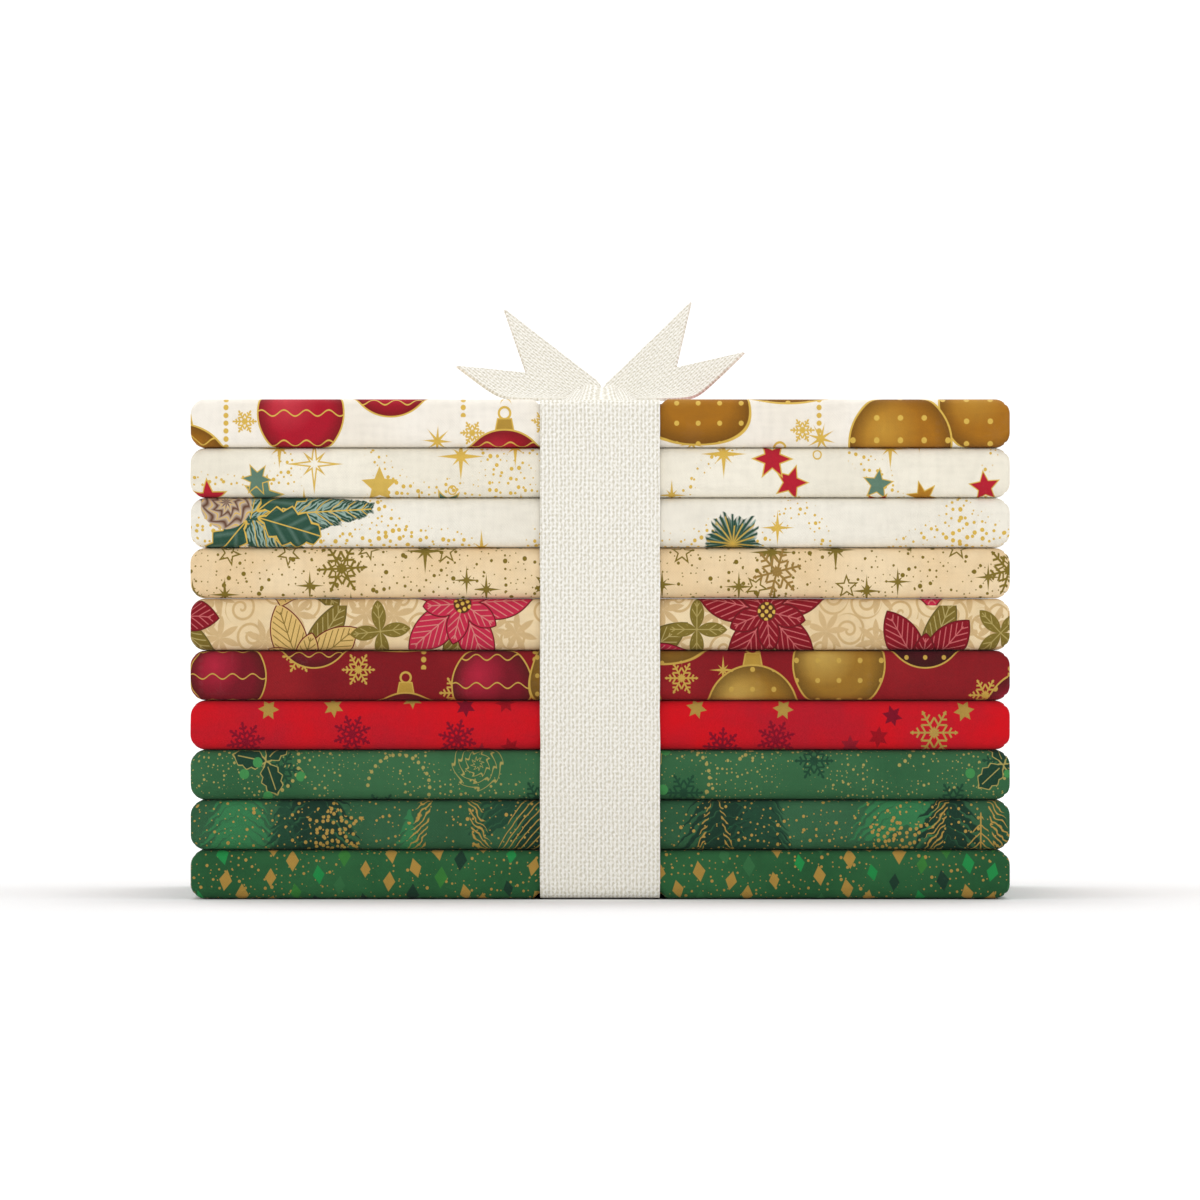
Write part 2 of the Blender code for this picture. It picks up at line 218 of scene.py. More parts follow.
def fold_cut(name, node, back_inset, loose_inset, outer=0, seed=0):
    """A cut of cotton folded into the place of its node. outer is 1 for the top cloth and -1
    for the bottom one, which the ribbon presses in."""
    low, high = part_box(node)
    stack_low, stack_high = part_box("cloth_03_pale_sprays")  # folded to the full depth
    depth = stack_high.y - stack_low.y
    length = high.x - low.x
    height = high.z - low.z
    half = height / 2
    flat = half - END_RADIUS
    round_from = length / 2 - END_RADIUS
    line, front = fold_points(depth, height, back_inset, loose_inset)
    normals = left_normals(line)
    run = run_along(line)
    run = [place - run[front] for place in run]

    def placed(number, station):
        side, share, row, offset, shift = station
        point = line[number] + normals[number] * offset
        away = share * END_REACH * END_RADIUS
        squeeze = (flat + math.sqrt(END_RADIUS**2 - away**2)) / half
        z = point.y * squeeze
        if row is None:
            over = min(max(abs(z) - flat, 0.0), END_RADIUS)
            full = math.sqrt(END_RADIUS**2 - over**2) if share else 0.0
            x = side * (round_from + share * max(full, END_REACH * END_RADIUS * 0.98) + shift)
        else:
            x = side * row
        place = Vector((x * PLY_SWELLS[0], run[number] * PLY_SWELLS[1], seed + (0.0 if offset > 0 else 7.0)))
        swell = PLY_WAVER * noise.noise(place)
        y = point.x + normals[number].x * swell
        z += normals[number].y * swell * 0.3
        if z * outer <= 0:
            z += z / half * LOFT
        if outer:
            pressed = eased((DIP_HALF_WIDTH + DIP_SLOPE - abs(x)) / DIP_SLOPE)
            z -= outer * (z * outer + half) * pressed * DIP / height
        if side < 0 and share == 1.0:
            worn = noise.noise(Vector((run[number] * EDGE_SWELLS, seed, offset * 9000)))
            x += CUT_WAVER * (0.5 + 0.5 * worn)
        return (x, y, low.z + half + z)

    def flat_place(station):
        side, share, row, _, _ = station
        return side * (round_from + share * END_RADIUS if row is None else row)

    shells = [ply_stations(PLY_OFFSET + way * COTTON / 2) for way in (1, -1)]
    count = len(shells[0])
    across = [0.0]
    for here, there in zip(shells[0], shells[0][1:]):
        step, turn = abs(flat_place(there) - flat_place(here)), abs(here[3] - there[3])
        across.append(across[-1] + step + turn * 0.8)
    scale = CUT[0] / across[-1]
    across = [place * scale for place in across]
    sought = [(-NOSE_SHOWN, NOSE_SHOWN, 10.0), (PANEL - NOSE_SHOWN, PANEL + NOSE_SHOWN, 5.0)]
    sought.append((min(outer, 0) * PANEL, max(outer, 0) * PANEL, 4.0))
    row_rooms = roomed(run, sought)
    station_rooms = roomed(across, [(0.0, CUT[0] / 2 + NOSE_SHOWN / 4, 8.0)])
    rows = len(line)
    points = [placed(row, station) for shell in shells for row in range(rows) for station in shell]
    faces, places, kept, reverse = [], [], [], []

    def index(shell, number, station):
        return (shell * rows + number) * count + station

    def add(corners, rim=None):
        faces.append([index(*corner) for corner in corners])
        places.extend((across[station], run[number]) for _, number, station in corners)
        reverse.append(0.0 if rim is None and corners[0][0] == 0 else 1.0)
        for shell, number, station in corners:
            if rim is None:
                low, high = SIDE_STRIPS[shell]
                aside, up = station_rooms[station], low + (high - low) * row_rooms[number]
            else:
                aside = station_rooms[station] if rim >= 2 else row_rooms[number]
                up = RIM_STRIPS[0] + rim * RIM_STRIPS[1] + shell * RIM_STRIPS[2]
            kept.append((STRIP_MARGIN + (1 - 2 * STRIP_MARGIN) * aside, up))

    for number in range(rows - 1):
        for station in range(count - 1):
            square = [(number + up, station + on) for up, on in ((0, 0), (0, 1), (1, 1), (1, 0))]
            add([(0, *corner) for corner in square])
            add([(1, *corner) for corner in reversed(square)])
    end = count - 1
    for near, far in zip(range(rows - 1), range(1, rows)):
        add([(0, near, 0), (0, far, 0), (1, far, 0), (1, near, 0)], 0)
        add([(0, far, end), (0, near, end), (1, near, end), (1, far, end)], 1)
    end = rows - 1
    for near, far in zip(range(count - 1), range(1, count)):
        add([(0, 0, far), (0, 0, near), (1, 0, near), (1, 0, far)], 2)
        add([(0, end, near), (0, end, far), (1, end, far), (1, end, near)], 3)
    piece = sheet_object(name, points, faces, cut=places, OFBake=kept)
    mesh = piece.data
    mesh.attributes.new("reverse", "FLOAT", "FACE").data.foreach_set("value", reverse)
    mesh.validate()
    mesh.update()
    mesh.shade_smooth()
    mesh.set_sharp_from_angle(angle=math.radians(50))
    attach(piece, "root")
    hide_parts(node)
    return piece


def fill(node, ports):
    """Fills a node's ports, by a link from a Share, a Place or a socket, or else by a value."""
    for port, value in dict(ports).items():
        value = getattr(value, "socket", value)
        if isinstance(value, bpy.types.NodeSocket):
            node.id_data.links.new(value, node.inputs[port])
        else:
            node.inputs[port].default_value = value


def made(tree, kind, ports=(), **settings):
    """A new shader node with its settings made and its ports filled."""
    node = tree.nodes.new("ShaderNode" + kind)
    for setting, value in settings.items():
        setattr(node, setting, value)
    fill(node, ports)
    return node


class Share:
    """A number that varies over a print. Working with it adds the Math nodes that do so."""

    def __init__(self, tree, socket):
        self.tree = tree
        self.socket = socket

    def worked(self, operation, *others, clamp=False):
        ports = enumerate((self, *others))
        node = made(self.tree, "Math", ports, operation=operation, use_clamp=clamp)
        return Share(self.tree, node.outputs[0])

    def __add__(self, other):
        return self.worked("ADD", other)

    def __sub__(self, other):
        return self.worked("SUBTRACT", other)

    def __rsub__(self, other):
        return self.worked("MULTIPLY_ADD", -1.0, other)

    def __mul__(self, other):
        return self.worked("MULTIPLY", other)

    def __neg__(self):
        return self.worked("MULTIPLY", -1.0)

    def __abs__(self):
        return self.worked("ABSOLUTE")

    def times_plus(self, factor, more):
        return self.worked("MULTIPLY_ADD", factor, more)

    def with_any(self, other):
        """The outline of two shapes together."""
        return self.worked("MINIMUM", other)

    def within(self, other):
        """The outline of what two shapes share."""
        return self.worked("MAXIMUM", other)

    def rows(self, pitch, start=0.0):
        """How far off the nearest of evenly spaced lines is."""
        return (self - start).worked("PINGPONG", pitch / 2)

    def filled(self, soft=0.14):
        """Ink inside an outline, with an edge that is soft by so many millimetres."""
        return self.worked("MULTIPLY_ADD", -1 / soft, 0.5, clamp=True)

    def lined(self, width):
        """Ink along an outline."""
        return (abs(self) - width / 2).filled(0.12)

    def under(self, limit):
        return self.worked("LESS_THAN", limit)

    def over(self, limit):
        return self.worked("GREATER_THAN", limit)


class Place:
    """Where a point of the cloth lies about its own motif, in millimetres, and three numbers
    from 0 to 1 that differ from motif to motif."""

    def __init__(self, tree, socket, chances=()):
        self.tree = tree
        self.socket = socket
        self.chances = chances

    def worked(self, kind, ports, **settings):
        node = made(self.tree, kind, {0: self, **ports}, **settings)
        return Place(self.tree, node.outputs[0], self.chances)

    def turned(self, angle):
        return self.worked("VectorRotate", {"Angle": angle}, rotation_type="Z_AXIS")

    def spun(self, number=0):
        """Each motif turned its own way, by one of its numbers."""
        return self.turned(self.chances[number] * 6.3)

    def moved(self, across, up):
        return self.worked("VectorMath", {1: (across, up, 0.0)}, operation="SUBTRACT")

    def grown(self, factor):
        return self.worked("VectorMath", {"Scale": factor}, operation="SCALE")

    def stretched(self, factors, shift):
        ports = {1: (*factors, 0.0), 2: (*shift, 0.0)}
        return self.worked("VectorMath", ports, operation="MULTIPLY_ADD")

    @cache
    def parts(self):
        node = made(self.tree, "SeparateXYZ", {0: self})
        return [Share(self.tree, socket) for socket in node.outputs[:2]]

    @cache
    def reach(self):
        node = made(self.tree, "VectorMath", {0: self}, operation="LENGTH")
        return Share(self.tree, node.outputs["Value"])

    @cache
    def bearing(self):
        across, up = self.parts()
        return up.worked("ARCTAN2", across)

    def folded(self, arms):
        """Place along and beside the nearest of so many even arms round the middle."""
        angle = self.bearing().worked("PINGPONG", math.pi / arms)
        reach = self.reach()
        return reach * angle.worked("COSINE"), reach * angle.worked("SINE")

    def star(self, points, tip, hollow):
        fold = math.pi / points
        lean = math.atan2(tip - hollow * math.cos(fold), hollow * math.sin(fold))
        angle = self.bearing().worked("PINGPONG", fold) - lean
        return self.reach() * angle.worked("COSINE") - tip * math.cos(lean)

    def sparkle(self, tip):
        """Four long points with four short ones between them."""
        return self.star(4, tip, tip * 0.15).with_any(self.star(8, tip * 0.52, tip * 0.17))

    def snowflake(self, arm, line, arms=6):
        along, beside = self.folded(arms)
        barbs = (along - beside * 0.577).rows(arm * 0.26, arm * 0.1) * 0.866 - line / 2
        barbs = barbs.within(beside - (arm * 1.02 - along) * 0.7).within(beside - arm * 0.3)
        return barbs.with_any((beside - line / 2).within(along - arm))


def leaf_outline(along, beside, length, width):
    """A pointed leaf that runs from the middle, given the place along it and beside its rib."""
    bow = (length**2 / 4 + width**2 / 4) / width
    along = along - length / 2
    beside = beside + (bow - width / 2)
    return (along * along + beside * beside).worked("SQRT") - bow


GOLD = (0.66, 0.43, 0.075)
REVERSE = (0.62, 0.58, 0.52)
THREAD_PAIR = 0.75  # two threads of the weave, in millimetres


class Print:
    """The ink of one cotton, laid on its ground layer by layer, with its weave under it."""

    def __init__(self, name, ground, mottle=None, mottle_size=30.0):
        self.material = bpy.data.materials.new(name)
        self.material.use_nodes = True
        self.tree = self.material.node_tree
        layout = made(self.tree, "UVMap", uv_map="cut")
        self.place = Place(self.tree, layout.outputs["UV"]).grown(1000.0)
        self.gilt = None
        self.colour = ground
        if mottle:
            cloud = self.cloud(mottle_size, 3.0, 5.0)
            self.paint(cloud.worked("MULTIPLY_ADD", 3.2, -1.1, clamp=True), mottle)

    def cloud(self, size, detail, seed, stretch=(1.0, 1.0)):
        """Soft noise with lumps of about that size."""
        moved = self.place.stretched(stretch, (seed * 53.0, seed * 31.0))
        ports = {"Vector": moved, "Scale": 1.0 / size, "Detail": detail}
        return Share(self.tree, made(self.tree, "TexNoise", ports, noise_dimensions="2D").outputs[0])

    def chances_of(self, socket):
        node = made(self.tree, "SeparateColor", {0: socket})
        return [Share(self.tree, output) for output in node.outputs]

    def scatter(self, pitch, stray=0.75, seed=0.0):
        """The place about the nearest of many loosely strewn motifs."""
        moved = self.place.moved(-seed * 71.0, -seed * 37.0)
        ports = {"Vector": moved, "Scale": 1.0 / pitch, "Randomness": stray}
        node = made(self.tree, "TexVoronoi", ports, voronoi_dimensions="2D")
        local = moved.worked("VectorMath", {1: node.outputs["Position"]}, operation="SUBTRACT")
        return Place(self.tree, local.socket, self.chances_of(node.outputs["Color"]))

    def repeat(self, width, height, start=(0.0, 0.0), drop=0.5, stray=(0.0, 0.0)):
        """The place about the nearest motif of a regular repeat, whose columns step down."""
        across, up = self.place.parts()
        across = across.times_plus(1.0 / width, 0.5 - start[0] / width)
        column = across.worked("FLOOR")
        up = column.times_plus(drop, up.times_plus(1.0 / height, 0.5 - start[1] / height))
        ports = {"Vector": self.joined(column, up.worked("FLOOR"))}
        node = made(self.tree, "TexWhiteNoise", ports, noise_dimensions="2D")
        local = self.joined(
            across.worked("FRACT").times_plus(width, -width / 2 + stray[0] / 2),
            up.worked("FRACT").times_plus(height, -height / 2 + stray[1] / 2),
        )
        if any(stray):
            ports = {1: (-stray[0], -stray[1], 0.0), 2: local}
            local = Place(self.tree, node.outputs["Color"])
            local = local.worked("VectorMath", ports, operation="MULTIPLY_ADD")
        return Place(self.tree, local.socket, self.chances_of(node.outputs["Color"]))

    def joined(self, across, up):
        return Place(self.tree, made(self.tree, "CombineXYZ", {0: across, 1: up}).outputs[0])

    def mixed(self, mask, under, over):
        ports = {0: mask}
        for port, colour in ((6, under), (7, over)):
            ports[port] = (*colour, 1.0) if isinstance(colour, tuple) else colour
        return made(self.tree, "Mix", ports, data_type="RGBA").outputs[2]

    def paint(self, mask, colour):
        self.colour = self.mixed(mask, self.colour, colour)

    def gild(self, mask, colour=GOLD):
        """Lays metallic ink, which is a little glossier than the dyes."""
        self.paint(mask, colour)
        self.gilt = mask if self.gilt is None else self.gilt.within(mask)

    def chosen(self, chance, colours):
        """One of several colours, in equal shares, by the motif's own number."""
        node = made(self.tree, "ValToRGB", {0: chance})
        node.color_ramp.interpolation = "CONSTANT"
        stops = node.color_ramp.elements
        while len(stops) < len(colours):
            stops.new(0.5)
        for number, colour in enumerate(colours):
            stops[number].position = number / len(colours)
            stops[number].color = (*colour, 1.0)
        return node.outputs[0]

    def splatter(self, pitch, size, seed, thick=0.5, patch=24.0, colour=GOLD):
        """Fine drops of metallic ink that gather in loose clouds."""
        drop = self.scatter(pitch, 1.0, seed)
        gathered = self.cloud(patch, 1.5, seed + 2.0)
        gathered = gathered.worked("MULTIPLY_ADD", 5.0, thick * 5.0 - 4.5, clamp=True)
        chance = drop.chances[0]
        spread = chance.worked("POWER", 5.0).times_plus(1.0, 0.5) * gathered * size
        self.gild((drop.reach() - spread).filled(0.1) * chance.over(0.3), colour)

    def finish(self):
        """Adds the weave, with painted shade where it lies low between threads, and wires the shader."""
        across, up = self.place.parts()
        turn = 2 * math.pi / THREAD_PAIR
        threads = (across * turn).worked("SINE") * (up * turn).worked("SINE")
        slubs = self.cloud(1.6, 1.0, 3.0, (0.25, 1.0)) + self.cloud(1.6, 1.0, 4.0, (1.0, 0.25))
        woven = threads.times_plus(0.35, slubs)
        # Painted shade: the print is darkened where the weave's height is low, in the hollows between
        # threads.
        painted_weave_shade = woven.worked("MULTIPLY_ADD", -0.12, 0.15, clamp=True)
        dark = self.mixed(painted_weave_shade, self.colour, (0.0, 0.0, 0.0))
        marks = made(self.tree, "Attribute", attribute_name="reverse")
        faded = Share(self.tree, marks.outputs["Fac"]) * 0.4
        roughness = slubs.times_plus(0.14, 0.72)
        if self.gilt:
            roughness = roughness - self.gilt * 0.3
        bump = made(self.tree, "Bump", {"Strength": 0.5, "Distance": 0.00008, "Height": woven})
        fill(self.tree.nodes["Principled BSDF"], {
            "Base Color": self.mixed(faded, dark, REVERSE),
            "Roughness": roughness,
            "Normal": bump.outputs["Normal"],
            "Sheen Weight": 0.03,
            "Sheen Roughness": 0.5,
            "Specular IOR Level": 0.15,
        })
        return self.material


def hang_baubles(ink, balls, finishes, rim=GOLD):
    """Glass balls and drops in a repeat, each of its own size and finish, with a cap, a ring
    and a rim. A finish is the glass's colour and the colour of its glow."""
    colours, glows = zip(*finishes)
    tint, kind, size = balls.chances
    ball = balls.grown(size.times_plus(0.28, 0.84))
    across, up = ball.parts()
    drop = kind.under(0.3) * 0.028
    shaped = ink.joined(across * (up * drop + 1.0), up * (1.0 - drop * 6.0))
    round_edge = shaped.reach() - 13.4
    inside = round_edge.filled()
    cap = (abs(across) + up * 0.2 - 5.4).within(abs(up - 14.7) - 1.9)
    ink.gild((ball.moved(0.0, 18.2).reach() - 1.7).lined(0.7), rim)
    ink.gild(cap.filled(), (0.42, 0.25, 0.035))
    ink.gild(cap.lined(0.4), rim)
    ink.paint(inside, ink.chosen(tint, colours))
    glow = ball.moved(-4.5, 3.5).reach().worked("MULTIPLY_ADD", -0.1, 1.0, clamp=True)
    ink.paint(glow * inside * 0.75, ink.chosen(tint, glows))
    edge = (round_edge + 4.5).worked("MULTIPLY_ADD", 0.12, 0.0, clamp=True)
    ink.paint(edge * inside, (0.020, 0.010, 0.004))
    studs = ink.joined(across.rows(6.2), (up - 1.0).rows(5.6))
    ink.gild((studs.reach() - 0.72).filled() * inside * kind.under(0.6), rim)
    wave = (up - (across * 0.9).worked("SINE") * 0.9).rows(9.0)
    ink.gild(wave.lined(0.45) * inside * kind.over(0.6), rim)
    ink.gild(round_edge.lined(0.5), rim)


def hang_beads(ink, pitch, start, colour=GOLD):
    """Strings of beads that hang down between the motifs."""
    beside, along = ink.repeat(pitch, 64.0, (start, 0.0), 0.37).parts()
    bead = ink.joined(beside, ink.place.parts()[1].rows(2.1))
    ink.gild((bead.reach() - 0.72).filled() * (abs(along) - 15.0).filled(), colour)


OCHRE_GLASS = ((0.36, 0.145, 0.012), (0.56, 0.31, 0.045))
RED_GLASS = ((0.40, 0.009, 0.024), (0.62, 0.055, 0.075))
GREEN_GLASS = ((0.026, 0.060, 0.036), (0.060, 0.130, 0.080))
ink = Print("pale_bauble_print", (0.871, 0.820, 0.735), (0.83, 0.77, 0.67), 40.0)
hang_beads(ink, 33.0, 10.0)
stars = ink.scatter(22.0, 0.7, 1.0)
ink.gild(stars.spun().star(8, 4.1, 1.0).filled())
flakes = ink.scatter(29.0, 0.7, 4.0)
ink.gild(flakes.snowflake(3.4, 0.45).filled())
for start in ((54.0, 13.0), (29.0, 2.0)):
    balls = ink.repeat(56.0, 46.0, start, 0.39, (5.0, 6.0))
    hang_baubles(ink, balls, (OCHRE_GLASS, RED_GLASS, OCHRE_GLASS, OCHRE_GLASS, GREEN_GLASS, RED_GLASS))
cloth = fold_cut("pale_bauble_cotton", "cloth_01_pale_baubles", 0.0004, 0.0021, outer=1, seed=0.0)
cloth.data.materials.append(ink.finish())

# Second cloth: warm white with scattered stars
# The same cut and fold, printed with small filled and outlined stars in four colours, long
# sparkles, rings and drifts of fine dots in metallic ink.
def strew_sparkles(ink, pitch, seed, tip=5.2, colour=GOLD):
    spots = ink.scatter(pitch, seed=seed)
    sized = spots.grown(spots.chances[1].times_plus(0.6, 0.8))
    ink.gild(sized.sparkle(tip).filled(), colour)


DOT_PITCH = 2.0
DRIFT_SIZE = 26.0


def drift_dots(ink, size, seed):
    """Small dots that lie in winding drifts."""
    dots = ink.scatter(DOT_PITCH, 0.8, seed)
    path = abs(ink.cloud(DRIFT_SIZE, 0.5, seed + 1.0) - 0.5).worked("MULTIPLY_ADD", -10.0, 1.1, clamp=True)
    spread = path * dots.chances[0].times_plus(0.6, 0.5) * size
    ink.gild((dots.reach() - spread).filled(0.1) * path.over(0.1))


ink = Print("pale_star_print", (0.855, 0.807, 0.687), (0.80, 0.75, 0.63), 36.0)
drift_dots(ink, 0.55, 2.0)
strew_sparkles(ink, 23.0, 3.0)
outlined = ink.scatter(41.0, 0.7, 6.0)
ink.gild(outlined.sparkle(6.4).lined(0.4))
rings = ink.scatter(29.0, 0.8, 9.0)
ink.gild((rings.reach() - 1.1).lined(0.4))
SAGE = (0.115, 0.205, 0.145)
STAR_CRIMSON = (0.44, 0.014, 0.03)
STAR_INKS = ((0.43, 0.19, 0.016), SAGE, STAR_CRIMSON, (0.62, 0.42, 0.09), SAGE, STAR_CRIMSON)
for points, seed in ((5, 7.0), (6, 4.0)):
    stars = ink.scatter(27.0, 0.62, seed)
    sized = stars.spun(1).grown(stars.chances[2].times_plus(0.35, 0.85))
    shape = sized.star(points, 4.9, 2.2)
    ink.paint(shape.filled(), ink.chosen(stars.chances[0], STAR_INKS))
    ink.gild(shape.lined(0.3))
cloth = fold_cut("pale_star_cotton", "cloth_02_pale_stars", 0.0012, 0.0016, seed=3.1)
cloth.data.materials.append(ink.finish())

# Third cloth: ivory with fir sprays
# The same cut and fold, printed with large sprays of fir twigs and holly round a cone, far
# apart, on a ground with drifts of metallic dots and sparkles.
PINE = (0.022, 0.070, 0.045)
PINE_LIGHT = (0.30, 0.42, 0.36)


def fir_twig(ink, place, turn, length, needle, ragged):
    """A twig from the motif's middle, with long needles on both sides of its stem."""
    along, up = place.turned(-turn).parts()
    beside = abs(up)
    taper = (along * (-0.8 / length)).times_plus(needle, needle)
    edge = (beside * 0.8 - taper).within(along - beside * 0.5 - length).within(-1.5 - along)
    for slope, pitch, line, reach, colour in (
        (1.15, 1.15, 0.40, 0.0, PINE),
        (0.65, 1.7, 0.48, 0.9, PINE),
        (1.8, 1.9, 0.22, 0.9, PINE_LIGHT),
        (0.9, 2.6, 0.17, 1.6, PINE_LIGHT),
    ):
        needles = (along - beside * slope + ragged * 2.2).rows(pitch) * 0.62 - line
        ink.paint(needles.within(edge + ragged * 2.4 - 1.0 + reach).filled(0.3), colour)
    gilt = (along - beside * 1.35 + ragged).rows(4.3, 0.9) * 0.62 - 0.14
    ink.gild(gilt.with_any(beside - 0.16).within(edge + 0.6).filled())


def needle_tuft(ink, place, reach, colour, line, needles):
    """Needles that stand out from one bud in all directions, none as long as the next."""
    ring = place.reach()
    beside = abs((place.bearing() * (needles / 2)).worked("SINE")) * ring * (2 / needles)
    uneven = (place.bearing() * 5.3).worked("SINE") * 1.1 + (place.bearing() * 12.7).worked("SINE") * 0.8
    ink.paint((beside - line).within(ring + uneven - reach).filled(0.3), colour)


def holly_leaf(ink, place, turn, length, width):
    along, up = place.turned(-turn).moved(2.0, 0.0).parts()
    edge = leaf_outline(along, abs(up) + along.rows(4.2) * 0.75, length, width)
    ink.paint(edge.filled(), (0.026, 0.078, 0.050))
    veins = ((along - abs(up) * 1.1).rows(4.4) * 0.67 - 0.35).within(edge + 0.8)
    ink.paint(veins.filled(0.9) * 0.35, (0.20, 0.32, 0.26))
    ink.gild(edge.lined(0.42).worked("MAXIMUM", (abs(up) - 0.16).within(edge).filled()))


def cone_scales(ink, place, radius, body, rim):
    """A fir cone seen end on, as rings of scales."""
    ring = place.reach()
    scales = ring + abs((place.bearing() * 4.5 + ring * 0.6).worked("SINE")) * 1.3
    inside = (ring - radius).filled()
    ink.paint(inside, ink.mixed((scales.rows(2.6) - 0.75).filled(0.9), body[0], body[1]))
    ink.gild((scales.rows(2.6) - 0.15).within(ring - radius).filled(), rim)


ink = Print("pale_spray_print", (0.84, 0.80, 0.70), (0.80, 0.755, 0.65), 38.0)
drift_dots(ink, 0.62, 5.0)
strew_sparkles(ink, 28.0, 8.0, 5.6)
ragged = ink.cloud(2.6, 2.0, 6.0)
sprays = ink.repeat(122.0, 92.0, (17.0, 2.0), 0.62)
for turn, length, needle in ((0.05, 34.0, 7.5), (-0.75, 24.0, 6.5), (2.55, 26.0, 7.0), (1.35, 22.0, 6.5)):
    fir_twig(ink, sprays, turn, length, needle, ragged)
for turn, length, width in ((0.62, 21.0, 12.0), (-0.28, 19.0, 11.0), (-2.3, 17.0, 10.0)):
    holly_leaf(ink, sprays, turn, length, width)
cone_scales(ink, sprays.moved(-7.0, 3.5), 7.2, ((0.13, 0.060, 0.035), (0.55, 0.43, 0.33)), GOLD)
sprigs = ink.repeat(122.0, 92.0, (151.0, -5.5), 0.62)
needle_tuft(ink, sprigs, 7.6, PINE, 0.34, 34)
needle_tuft(ink, sprigs.moved(0.5, -0.4), 7.0, PINE_LIGHT, 0.2, 22)
needle_tuft(ink, sprigs.turned(0.3), 6.6, PINE, 0.3, 30)
needle_tuft(ink, sprigs.turned(0.1), 6.4, GOLD, 0.15, 16)
cloth = fold_cut("pale_spray_cotton", "cloth_03_pale_sprays", 0.0, 0.0028, seed=6.2)
cloth.data.materials.append(ink.finish())

# Fourth cloth: peach with snowflakes
# The same cut and fold. Snowflakes, starbursts, little open stars and splashes of dots in two
# dull golds lie on a soft, unevenly dyed peach.
DULL_GOLD = (0.30, 0.18, 0.045)
OLIVE_GOLD = (0.20, 0.14, 0.018)
ink = Print("peach_snowflake_print", (0.823, 0.650, 0.415), (0.77, 0.57, 0.33), 26.0)
ink.splatter(2.0, 0.36, 4.0, 0.85, 20.0, OLIVE_GOLD)
blobs = ink.scatter(11.0, 0.9, 6.0)
ink.paint((blobs.reach() - 0.62).filled(), OLIVE_GOLD)
strew_sparkles(ink, 19.0, 5.0, 5.0, OLIVE_GOLD)
open_stars = ink.scatter(23.0, 0.8, 2.0)
ink.paint(open_stars.spun().star(5, 2.9, 1.2).lined(0.4), OLIVE_GOLD)
flakes = ink.repeat(31.0, 30.0, (40.0, 0.5), 0.5, (6.0, 6.0))
shape = flakes.turned(flakes.chances[2]).snowflake(6.9, 0.62)
ink.paint(shape.filled(), ink.chosen(flakes.chances[0], (DULL_GOLD, OLIVE_GOLD)))
ink.paint(flakes.star(6, 3.4, 1.9).lined(0.45) * flakes.chances[0].over(0.5), OLIVE_GOLD)
cloth = fold_cut("peach_snowflake_cotton", "cloth_04_peach_snowflakes", 0.0015, 0.0024, seed=9.3)
cloth.data.materials.append(ink.finish())

# Fifth cloth: cream with poinsettias
# The same cut and fold. Burgundy, rose and tan flowers with drawn veins and beaded middles lie
# over fine tan scrolls.
def petals(ink, place, count, length, width, colour, vein, outline=None):
    along, beside = place.folded(count)
    edge = leaf_outline(along, beside, length, width)
    ink.paint(edge.filled(), colour)
    ribs = (along - beside * 1.5).rows(2.6, 0.8) * 0.55 - 0.13
    ribs = ribs.within(edge + 0.5).within(2.6 - along)
    stem = (beside - 0.14).within(along - length * 0.88)
    ink.paint(ribs.with_any(stem).filled(), vein)
    if outline:
        ink.paint(edge.lined(0.32), outline)


ink = Print("cream_poinsettia_print", (0.80, 0.64, 0.40), (0.74, 0.56, 0.32), 30.0)
curls = ink.scatter(9.5, 0.8, 2.0)
coil = curls.reach() * 0.42 - curls.bearing() * (1 / (2 * math.pi))
scroll = (coil + curls.chances[0]).rows(1.0) * 2.2 - 0.32
ink.paint(scroll.within(curls.reach() - 4.6).filled(0.2), (0.58, 0.40, 0.19))
fronds = ink.scatter(12.0, 0.8, 5.0)
along, beside = fronds.spun().folded(7)
ink.paint(leaf_outline(along, beside, 6.0, 1.7).filled(0.2), (0.60, 0.42, 0.21))
flowers = ink.repeat(43.0, 37.0, (74.0, 5.0), 0.5, (5.0, 4.0))
tilted = flowers.turned(flowers.chances[2] * 1.2)
petals(ink, tilted.turned(0.5), 3, 23.0, 8.0, (0.185, 0.13, 0.022), (0.42, 0.33, 0.12), (0.12, 0.09, 0.02))
FLOWER_INKS = ((0.225, 0.007, 0.015), (0.66, 0.44, 0.15), (0.225, 0.007, 0.015), (0.50, 0.022, 0.060))
VEIN_INKS = ((0.55, 0.13, 0.13), (0.21, 0.14, 0.03), (0.55, 0.13, 0.13), (0.62, 0.22, 0.19))
face = ink.chosen(flowers.chances[0], FLOWER_INKS)
vein = ink.chosen(flowers.chances[0], VEIN_INKS)
petals(ink, tilted, 5, 19.5, 9.6, face, vein, (0.13, 0.01, 0.012))
petals(ink, tilted.turned(math.pi / 5), 5, 11.0, 6.0, face, vein, (0.13, 0.01, 0.012))
seeds = ink.joined(tilted.parts()[0].rows(1.5), tilted.parts()[1].rows(1.5))
ink.paint((tilted.reach() - 2.5).filled(), (0.09, 0.03, 0.012))
ink.gild((seeds.reach() - 0.52).within(tilted.reach() - 2.4).filled())
buds = ink.repeat(43.0, 37.0, (96.0, 16.0), 0.5, (4.0, 4.0))
petals(ink, buds.spun(), 4, 8.5, 4.0, (0.20, 0.145, 0.025), (0.40, 0.31, 0.10))
cloth = fold_cut("cream_poinsettia_cotton", "cloth_05_cream_poinsettias", 0.0006, 0.0019, seed=12.4)
cloth.data.materials.append(ink.finish())

